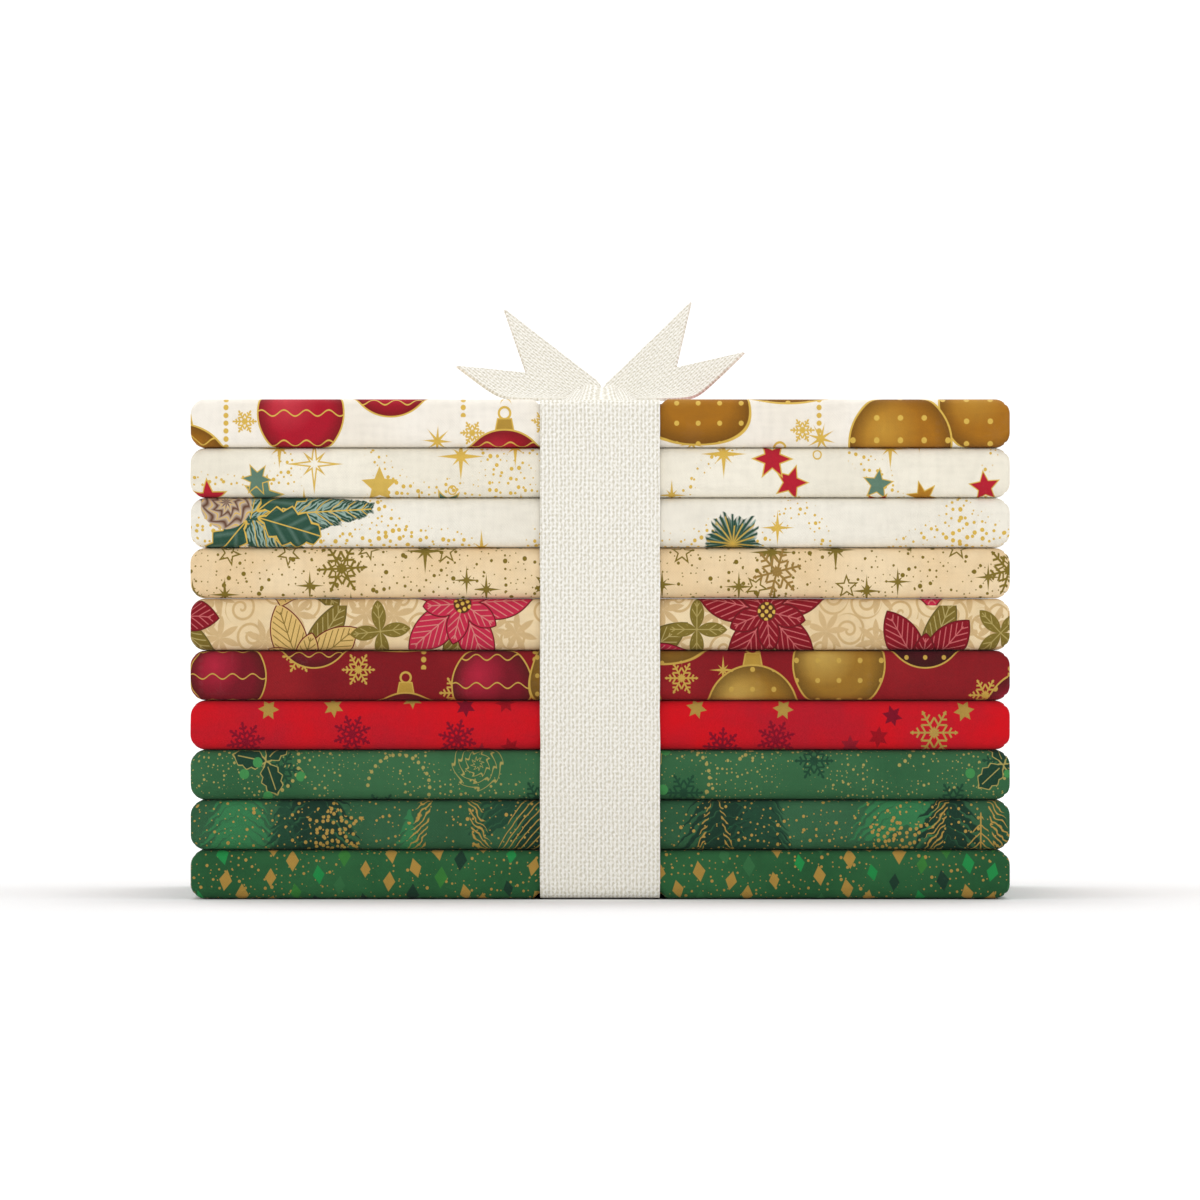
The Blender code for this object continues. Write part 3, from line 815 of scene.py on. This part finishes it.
# Sixth cloth: crimson with baubles
# The same cut and fold. Brown-gold and maroon glass balls with gold rims hang among starbursts,
# snowflakes and strings of beads on a deep crimson.
BALL_GOLD = (0.52, 0.33, 0.06)
ink = Print("crimson_bauble_print", (0.275, 0.012, 0.016), (0.20, 0.008, 0.012), 34.0)
hang_beads(ink, 31.0, 3.0, BALL_GOLD)
strew_sparkles(ink, 26.0, 4.0, 5.2, BALL_GOLD)
flakes = ink.scatter(29.0, 0.8, 8.0)
ink.gild(flakes.snowflake(4.6, 0.45).filled(), BALL_GOLD)
BROWN_GLASS = ((0.30, 0.150, 0.020), (0.62, 0.42, 0.10))
MAROON_GLASS = ((0.065, 0.006, 0.010), (0.36, 0.012, 0.035))
CRIMSON_GLASS = ((0.17, 0.008, 0.016), (0.50, 0.020, 0.050))
for start in ((33.0, 12.0), (9.0, -1.0)):
    balls = ink.repeat(49.0, 40.0, start, 0.41, (4.0, 6.0)).grown(1.12)
    hang_baubles(ink, balls, (BROWN_GLASS, MAROON_GLASS, BROWN_GLASS, CRIMSON_GLASS), BALL_GOLD)
cloth = fold_cut("crimson_bauble_cotton", "cloth_06_crimson_baubles", 0.0010, 0.0031, seed=15.5)
cloth.data.materials.append(ink.finish())

# Seventh cloth: bright red with stars
# The same cut and fold. Six-pointed stars and snowflakes in dark red and olive gold are strewn
# far apart on a bright, cloudy red.
ink = Print("red_star_print", (0.60, 0.004, 0.010), (0.44, 0.008, 0.019), 30.0)
shadows = ink.scatter(31.0, 0.8, 3.0)
ink.paint(shadows.turned(shadows.chances[0] * 3.0).snowflake(5.4, 0.6, 8).filled(), (0.22, 0.003, 0.016))
stars = ink.scatter(17.0, 0.75, 5.0)
shape = stars.spun(1).star(6, 2.9, 1.5)
STAR_GOLD = (0.40, 0.25, 0.05)
STAR_REDS = ((0.30, 0.003, 0.010), STAR_GOLD, (0.19, 0.003, 0.016), STAR_GOLD, (0.28, 0.008, 0.02))
ink.paint(shape.filled(), ink.chosen(stars.chances[0], STAR_REDS))
flakes = ink.repeat(150.0, 52.0, (207.0, -2.0), 0.37)
ink.gild(flakes.snowflake(6.6, 0.5).filled(), (0.42, 0.27, 0.055))
cloth = fold_cut("red_star_cotton", "cloth_07_red_stars", 0.0003, 0.0015, seed=18.6)
cloth.data.materials.append(ink.finish())

# Eighth cloth: mid green with holly
# The same cut and fold. Dark holly leaves with gold edges, light berries, shadowy snowflakes
# and chains and clouds of gold dots lie on a cloudy green.
ink = Print("green_holly_print", (0.028, 0.110, 0.044), (0.040, 0.136, 0.056), 34.0)
DOT_GOLD = (0.36, 0.30, 0.085)
ink.splatter(1.4, 0.28, 3.0, 0.58, 17.0, DOT_GOLD)
shadows = ink.scatter(30.0, 0.8, 7.0)
ink.paint(shadows.snowflake(5.4, 0.55).filled(), (0.014, 0.060, 0.030))
hoops = ink.scatter(36.0, 0.75, 4.0)
links = ink.joined(hoops.bearing().rows(0.22) * 8.6, hoops.reach() - 8.6)
ink.gild((links.reach() - 0.48).filled() * hoops.bearing().over(-1.2), DOT_GOLD)
sprigs = ink.repeat(52.0, 40.0, (19.0, 3.0), 0.5, (6.0, 5.0))
tilted = sprigs.spun()
along, beside = tilted.folded(3)
spiked = leaf_outline(along, beside + along.rows(2.5) * 0.6, 9.6, 6.2)
ink.paint(spiked.filled(), (0.012, 0.048, 0.026))
ink.gild(spiked.lined(0.3), DOT_GOLD)
ink.gild((beside - 0.14).within(along - 8.0).within(1.5 - along).filled(), DOT_GOLD)
berries = ink.scatter(8.5, 0.9, 8.0)
near = (tilted.reach() - 11.5).filled()
ink.paint((berries.reach() - 1.35).filled() * near, (0.052, 0.25, 0.070))
cones = ink.repeat(126.0, 46.0, (80.0, 3.0), 0.5)
scales = cones.reach() + abs((cones.bearing() * 4.0 + cones.reach() * 1.3).worked("SINE")) * 0.9
ink.gild((scales.rows(1.8) - 0.16).within(cones.reach() - 7.2).filled(), DOT_GOLD)
cloth = fold_cut("green_holly_cotton", "cloth_08_green_holly", 0.0014, 0.0026, seed=21.7)
cloth.data.materials.append(ink.finish())

# Ninth cloth: green with fir trees
# The same cut and fold. Light, dark and outlined fir trees with ragged, drooping boughs stand
# close together among open stars, under a spatter of gold.
TREE_GOLD = (0.42, 0.26, 0.055)


def fir_tree(trees, size, bough, ragged):
    """The outline of a tree made of drooping boughs, each of which narrows to its tip."""
    half_width, height = size
    across, up = trees.parts()
    out = abs(across)
    foot = up + out * 0.45 + out * out * 0.018 + ragged
    share = out.worked("DIVIDE", foot * (-half_width / height) + (half_width / 2 + 0.8))
    tip = share * share + (foot * (1 / bough)).worked("FRACT") - 1.0
    return (tip * (bough * 0.45)).within(-foot - height / 2).within(foot - height / 2), share


ink = Print("green_fir_print", (0.026, 0.094, 0.041), (0.037, 0.122, 0.055), 30.0)
ragged = ink.cloud(3.4, 1.5, 3.0) * 3.6
for repeat, size, bough, colour in (
    ((47.0, 58.0, (12.0, 4.0), 0.41, (4.0, 8.0)), (20.0, 46.0), 2.6, (0.036, 0.185, 0.068)),
    ((59.0, 61.0, (33.0, 8.0), 0.37, (6.0, 8.0)), (21.0, 50.0), 3.2, (0.011, 0.040, 0.023)),
    ((67.0, 63.0, (24.0, -11.0), 0.37, (6.0, 6.0)), (17.0, 44.0), 2.2, (0.016, 0.062, 0.032)),
):
    edge, share = fir_tree(ink.repeat(*repeat), size, bough, ragged)
    ink.paint(edge.filled(0.3), colour)
trees = ink.repeat(73.0, 57.0, (70.0, 12.0), 0.45, (6.0, 6.0))
edge, share = fir_tree(trees, (15.0, 48.0), 1.9, ragged)
ink.gild(edge.lined(0.26) * share.over(0.55), TREE_GOLD)
trees = ink.repeat(119.0, 57.0, (98.0, 6.0), 0.45, (6.0, 6.0))
across, up = trees.parts()
out = abs(across)
shape = (out + up * 0.42 - 9.0).within(-14.0 - up - out * 0.6)
boughs = (up + out * 0.75 + out * out * 0.03 + ragged * 0.2).rows(2.3) * 0.7 - 0.14
ink.gild(boughs.with_any(out - 0.2).within(shape).filled(), TREE_GOLD)
stars = ink.repeat(79.0, 50.0, (38.0, -3.0), 0.5, (6.0, 4.0))
tilted = stars.turned(math.pi / 2)
ink.gild(tilted.star(5, 6.0, 2.5).lined(0.45) * stars.chances[0].under(0.5), TREE_GOLD)
dots = ink.scatter(1.7, 0.8, 9.0)
dotted = (dots.reach() - 0.48).filled() * tilted.star(6, 9.5, 5.8).filled()
ink.gild(dotted * stars.chances[0].over(0.5), TREE_GOLD)
ink.splatter(1.8, 0.34, 7.0, 0.70, 22.0, TREE_GOLD)
cloth = fold_cut("green_fir_cotton", "cloth_09_green_firs", 0.0007, 0.0018, seed=24.8)
cloth.data.materials.append(ink.finish())

# Tenth cloth: dark green with lozenges
# The same cut and fold, at the bottom of the stack. Small lozenges in gold and three greens are
# strewn in loose drifts with a spatter of gold between them.
ink = Print("green_lozenge_print", (0.019, 0.092, 0.032), (0.027, 0.122, 0.042), 32.0)
LOZENGE_GOLD = (0.40, 0.24, 0.05)
ink.splatter(1.8, 0.32, 3.0, 0.66, 18.0, LOZENGE_GOLD)
LOZENGE_INKS = (
    LOZENGE_GOLD,
    (0.034, 0.145, 0.050),
    (0.012, 0.042, 0.024),
    LOZENGE_GOLD,
    (0.016, 0.25, 0.060),
    LOZENGE_GOLD,
    (0.038, 0.19, 0.035),
    LOZENGE_GOLD,
)
cuts = ink.repeat(6.7, 8.0, (2.0, 1.5), 0.43, (2.4, 1.6))
across, up = cuts.turned((cuts.chances[1] - 0.5) * 0.6).parts()
edge = abs(across) * 0.85 + abs(up) * 0.53 - (cuts.chances[2] * 0.4 + 1.2)
strewn = (cuts.chances[0] * 7.0).worked("FRACT").over(0.12)
ink.paint(edge.filled() * strewn, ink.chosen(cuts.chances[0], LOZENGE_INKS))
cloth = fold_cut("green_lozenge_cotton", "cloth_10_green_lozenges", 0.0002, 0.0022, outer=-1, seed=27.9)
cloth.data.materials.append(ink.finish())

# Ribbon
# A flat ribbon of heavy ivory canvas, woven with thick warp threads that run along it. It goes
# once round the stack and is knotted over the middle of the top. Its two free ends, cut to
# swallowtails, stand up out of the knot, the right one in front of the left.
CANVAS = 0.001  # the ribbon's room between the stack and its outer face
RIBBON_THICK = 0.0008
CLEARANCE = 0.0003
CORNER_STEPS = 10
BAND_COLUMNS = 12
BAND_ROWS = 14  # along each straight side of the stack
SELVAGE_WAVER = 0.00018
TAIL_ROOT = -0.013
TAIL_OPEN = -0.003
TAIL_PINCH = 0.45
TAIL_EASE = 0.0025
TAIL_COLUMNS = 20
TAIL_ROWS = 26
TAIL_CUP = 0.0006  # how far the middle of a free end lies behind its edges
# side, slope of the middle line, lean of the face, foot, reach to the notch, place in y
RIGHT_TAIL = (1, math.radians(44.4), math.radians(50.4), 0.0114, 0.0143, -0.0012)
LEFT_TAIL = (-1, math.radians(38.0), math.radians(49.7), 0.0101, 0.0138, 0.0012)
KNOT_HALF_LENGTH = 0.0150
KNOT_HEIGHT = 0.0052
KNOT_SLACK = 1.1  # length of cloth in the knot, as a share of the knot's own
KNOT_WAIST = 0.0085
KNOT_FLARE = 0.0118
KNOT_POWER = 2.8
KNOT_ROWS = 30
KNOT_COLUMNS = 44
CREASE_WANDER = 0.035  # how far a crease strays, as a share of the way over the knot
# middle and breadth of each crease, as shares of the way over the knot, and its depth
KNOT_CREASES = ((0.32, 0.09, 0.0008), (0.52, 0.06, 0.0011), (0.70, 0.08, 0.0007), (0.86, 0.05, 0.0006))
WARP_PITCH = 1.12  # millimetres from one warp thread to the next
WEFT_PITCH = 1.22

stack_low, stack_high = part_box("cloth_01_pale_baubles")
base_low, base_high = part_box("cloth_10_green_lozenges")
stack_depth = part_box("cloth_03_pale_sprays")[1].y * 2
stack_top = stack_high.z


def squared_arc(centre, reach, rise, power, start, steps):
    """A quarter of a squared-off ellipse in the stack's section, from an angle onwards."""
    points = []
    for step in range(steps + 1):
        angle = start + math.pi / 2 * step / steps
        along = math.copysign(abs(math.cos(angle)) ** (2 / power), math.cos(angle))
        up = math.copysign(abs(math.sin(angle)) ** (2 / power), math.sin(angle))
        points.append(Vector((centre[0] + reach * along, centre[1] + rise * up)))
    return points


def band_corner(low, high, outer, nest):
    """The centre, reach and rise of the ribbon's arc round a fold of the top or bottom cloth."""
    height = high.z - low.z
    turn = (nest - 1) / 2 * (height - LAYER) / (LAYERS - 1)
    out = CLEARANCE + CANVAS / 2
    rise = (turn + LAYER / 2) * (1 - DIP / height) + out
    face = high.z - DIP if outer > 0 else low.z + DIP
    side = -1 if nest == LAYERS else 1
    reach = turn * NOSE_DEPTH
    centre = (side * (stack_depth / 2 - LAYER / 2 - reach), face + outer * (out - rise))
    return centre, reach + LAYER / 2 + out, rise


def tail_place(tail, along, across):
    """A point of a free end. along runs from its foot to its end, and across from its lower
    front edge at -1 to its upper back edge at 1."""
    side, rise, turned, foot, _, middle = tail
    opened = eased((along - TAIL_ROOT) / (TAIL_OPEN - TAIL_ROOT))
    half_width = RIBBON_WIDTH / 2 * across * (TAIL_PINCH + (1 - TAIL_PINCH) * opened)
    upward = half_width * math.cos(turned)
    x = foot + along * math.cos(rise) - upward * math.sin(rise)
    cup = TAIL_CUP * (1 - across * across) * eased(along / 0.012)
    y = middle * opened + half_width * math.sin(turned) + cup
    lying = CLEARANCE + CANVAS / 2
    above = along * math.sin(rise) + upward * math.cos(rise) - lying
    lifted = (above + math.sqrt(above**2 + TAIL_EASE**2)) / 2
    return Vector((side * x, y, stack_top + lying + lifted))


def between(points, steps):
    """A line with more points on its longest stretches."""
    fuller = [points[0]]
    for here, there in zip(points, points[1:]):
        parts = steps if (there - here).length > 0.05 else 1
        fuller += [here.lerp(there, part / parts) for part in range(1, parts + 1)]
    return fuller


band_line = []
for fold, start in (
    (band_corner(stack_low, stack_high, 1, LAYERS // 2), 0.0),
    (band_corner(stack_low, stack_high, 1, LAYERS), math.pi / 2),
    (band_corner(base_low, base_high, -1, LAYERS), math.pi),
):
    band_line += squared_arc(*fold, NOSE_POWER, start, CORNER_STEPS)
turn = 2 * CLEARANCE + CANVAS
corner = (stack_depth / 2 - CLEARANCE - CANVAS / 2, CANVAS / 2 + turn)
band_line += squared_arc(corner, turn, turn, TIGHT_POWER, 1.5 * math.pi, 4)
band_line = between(band_line + [band_line[0]], BAND_ROWS)
spread = [RIBBON_WIDTH * (column / BAND_COLUMNS - 0.5) for column in range(BAND_COLUMNS + 1)]
band_run = run_along(band_line)
band_grid = []
for point, run in zip(band_line, band_run):
    waver = [SELVAGE_WAVER * noise.noise(Vector((run * 90 % 61, side, 4.0))) for side in (0, 9)]
    row = [Vector((x, point.x, point.y)) for x in spread]
    row[0].x += waver[0]
    row[-1].x += waver[1]
    band_grid.append(row)
band_grid[-1] = [point.copy() for point in band_grid[0]]
strips = [(band_grid, [[(x, run) for x in spread] for run in band_run])]

tail_spread = [2 * column / TAIL_COLUMNS - 1 for column in range(TAIL_COLUMNS + 1)]
for tail in (RIGHT_TAIL, LEFT_TAIL):
    notch = tail[4]
    ends = [notch + abs(across) * RIBBON_WIDTH / 2 for across in tail_spread]
    tail_grid, tail_weave = [], []
    for row in range(TAIL_ROWS + 1):
        reached = [TAIL_ROOT + (end - TAIL_ROOT) * row / TAIL_ROWS for end in ends]
        row_places = list(zip(reached, tail_spread))
        tail_grid.append([tail_place(tail, *place) for place in row_places])
        tail_weave.append([(across * RIBBON_WIDTH / 2, along) for along, across in row_places])
    strips.append((tail_grid, tail_weave))

knot_grid = []
for row in range(KNOT_ROWS + 1):
    along = 2 * row / KNOT_ROWS - 1
    swell = math.cos(along * math.pi / 2) ** 2
    half_width = KNOT_FLARE + (KNOT_WAIST - KNOT_FLARE) * swell
    height = CLEARANCE + (KNOT_HEIGHT - CLEARANCE) * swell
    points = []
    for column in range(KNOT_COLUMNS + 1):
        share = column / KNOT_COLUMNS
        angle = math.pi * share
        crease = 0.0
        for middle, breadth, depth in KNOT_CREASES:
            wander = middle + CREASE_WANDER * math.sin(along * 3.0 + middle * 9.0)
            crease += depth * math.exp(-(((share - wander) / breadth) ** 2) * 4)
        crease *= 0.35 + 0.65 * swell
        out = math.copysign(abs(math.cos(angle)) ** (2 / KNOT_POWER), math.cos(angle))
        up = abs(math.sin(angle)) ** (2 / KNOT_POWER)
        points.append(Vector((
            (half_width - crease) * out,
            along * KNOT_HALF_LENGTH,
            stack_top + max(height * up - crease * math.sin(angle), 0.0001),
        )))
    knot_grid.append(points)
across_of = [RIBBON_WIDTH * (column / KNOT_COLUMNS - 0.5) for column in range(KNOT_COLUMNS + 1)]
along_of = [KNOT_HALF_LENGTH * KNOT_SLACK * (2 * row / KNOT_ROWS - 1) for row in range(KNOT_ROWS + 1)]
strips.append((knot_grid, [[(across, along) for across in across_of] for along in along_of]))

points, faces, places = [], [], []
for grid, weave_grid in strips:
    base = len(points)
    columns = len(grid[0])
    points += [tuple(point) for row in grid for point in row]
    for row in range(len(grid) - 1):
        for column in range(columns - 1):
            corners = ((row, column), (row, column + 1), (row + 1, column + 1), (row + 1, column))
            faces.append([base + r * columns + c for r, c in corners])
            places += [weave_grid[r][c] for r, c in corners]
ribbon = sheet_object("canvas_ribbon", points, faces, weave=places)
ribbon.data.validate()
bpy.ops.object.select_all(action="DESELECT")
ribbon.select_set(True)
bpy.context.view_layer.objects.active = ribbon
bpy.ops.object.mode_set(mode="EDIT")
bpy.ops.mesh.select_all(action="SELECT")
bpy.ops.mesh.remove_doubles(threshold=0.000001)
bpy.ops.mesh.normals_make_consistent(inside=False)
bpy.ops.object.mode_set(mode="OBJECT")
wall = ribbon.modifiers.new("thickness", "SOLIDIFY")
wall.thickness = RIBBON_THICK
wall.offset = 0.0
bpy.ops.object.modifier_apply(modifier="thickness")
ribbon.data.shade_smooth()
ribbon.data.set_sharp_from_angle(angle=math.radians(50))

canvas = bpy.data.materials.new("ribbon_weave")
canvas.use_nodes = True
tree = canvas.node_tree
weave = Place(tree, made(tree, "UVMap", uv_map="weave").outputs["UV"]).grown(1000.0)


def lumps(size, seed, stretch):
    """Uneven thickness of the yarn, with lumps of about that size."""
    moved = weave.stretched((stretch[0] / size, stretch[1] / size), (seed * 17.0, seed * 5.0))
    ports = {"Vector": moved, "Scale": 1.0, "Detail": 1.0}
    return Share(tree, made(tree, "TexNoise", ports, noise_dimensions="2D").outputs[0])


across, along = weave.parts()
across = across + lumps(5.0, 1.0, (1.0, 0.4)) * 0.5
along = along + lumps(4.0, 2.0, (0.7, 1.0)) * 0.9
warp = across * (1 / WARP_PITCH)
columns = (warp * (2 * math.pi)).worked("COSINE")
rows = (along * (2 * math.pi / WEFT_PITCH)).worked("COSINE")
slanted = ((along * (0.5 / WEFT_PITCH) + warp * 0.5) * (2 * math.pi)).worked("COSINE")
fibres = lumps(0.45, 3.0, (1.0, 0.6))
height = columns * 0.3 + rows * columns.times_plus(-0.1, 0.12) + slanted * 0.13 + (fibres * 1.4 - 0.22)
# The canvas's colour follows its thread height about the yarn's ivory: painted shade in the hollows between
# threads, painted highlight on their crowns.
weave_light_ramp = made(tree, "ValToRGB", {0: height})
weave_light_stops = weave_light_ramp.color_ramp.elements
weave_light_stops[0].position, weave_light_stops[0].color = 0.06, (0.66, 0.62, 0.51, 1.0)
weave_light_stops[1].position, weave_light_stops[1].color = 0.94, (0.955, 0.93, 0.88, 1.0)
middle_light_stop = weave_light_stops.new(0.5)
middle_light_stop.color = (0.83, 0.80, 0.72, 1.0)
relief = made(tree, "Bump", {"Strength": 0.7, "Distance": 0.00025, "Height": height})
fill(tree.nodes["Principled BSDF"], {
    "Base Color": weave_light_ramp.outputs[0],
    "Roughness": height.times_plus(-0.12, 0.9),
    "Normal": relief.outputs["Normal"],
    "Specular IOR Level": 0.2,
})
ribbon.data.materials.append(canvas)
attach(ribbon, "root")
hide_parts("tie_ribbon")

# Floor and light
# A wide pale sweep that rises all round, far behind every place that a camera may take, and
# soft light from above and in front, as in a small products studio. The sweep glows as painted
# light, not at all near the stack and more and more from 0.4 m out.
FLOOR_RADIUS = 5.0
SWEEP_RISE = 3.0
SWEEP_STEPS = 12

bpy.ops.object.select_all(action="DESELECT")
bpy.ops.mesh.primitive_circle_add(
    vertices=96, radius=FLOOR_RADIUS, fill_type="NGON", location=(0.0, 0.0, -0.0002)
)
sweep = bpy.context.object
sweep.name = "floor"
bpy.ops.object.mode_set(mode="EDIT")
bpy.ops.mesh.select_all(action="SELECT")
bpy.ops.mesh.region_to_loop()
radius = FLOOR_RADIUS
for step in range(SWEEP_STEPS):
    near, far = (math.pi / 2 * (step + more) / SWEEP_STEPS for more in (0, 1))
    wider = FLOOR_RADIUS + SWEEP_RISE * math.sin(far)
    up = SWEEP_RISE * (math.cos(near) - math.cos(far))
    bpy.ops.mesh.extrude_region_move(TRANSFORM_OT_translate={"value": (0.0, 0.0, up)})
    bpy.ops.transform.resize(value=(wider / radius, wider / radius, 1.0), center_override=(0.0, 0.0, 0.0))
    radius = wider
bpy.ops.object.mode_set(mode="OBJECT")
sweep.data.shade_smooth()
bpy.ops.object.transform_apply(location=True, rotation=True, scale=True)
glowing_paper = bpy.data.materials.new("pale_paper")
glowing_paper.use_nodes = True
tree = glowing_paper.node_tree
# Painted light: the paper glows, not at all within 0.4 m of the middle and more and more beyond, so the far
# floor and the wall read white.
away = Place(tree, made(tree, "TexCoord").outputs["Object"]).reach()
fill(tree.nodes["Principled BSDF"], {
    "Base Color": (0.86, 0.86, 0.86, 1.0),
    "Roughness": 1.0,
    "Specular IOR Level": 0.0,
    "Emission Color": (1.0, 1.0, 1.0, 1.0),
    "Emission Strength": (away - 0.4).worked("MULTIPLY", 1.4, clamp=True) * 0.3,
})
sweep.data.materials.append(glowing_paper)


def soft_light(name, place, size, watts):
    """A square soft box that looks at the middle of the stack."""
    bpy.ops.object.light_add(type="AREA", location=place)
    box = bpy.context.object
    box.name = name
    box.data.shape = "SQUARE"
    box.data.size = size
    box.data.energy = watts
    aim = Vector((0.0, 0.0, 0.07)) - Vector(place)
    box.rotation_euler = aim.to_track_quat("-Z", "Y").to_euler()


soft_light("overhead", (0.0, 0.8, 1.9), 1.0, 14.5)
soft_light("front", (-0.5, -4.2, 1.1), 2.2, 14.0)
world = bpy.data.worlds.new("studio")
bpy.context.scene.world = world
world.use_nodes = True
fill(world.node_tree.nodes["Background"], {"Color": (1.0, 1.0, 1.0, 1.0), "Strength": 0.9})
bpy.context.scene.view_settings.view_transform = "Standard"
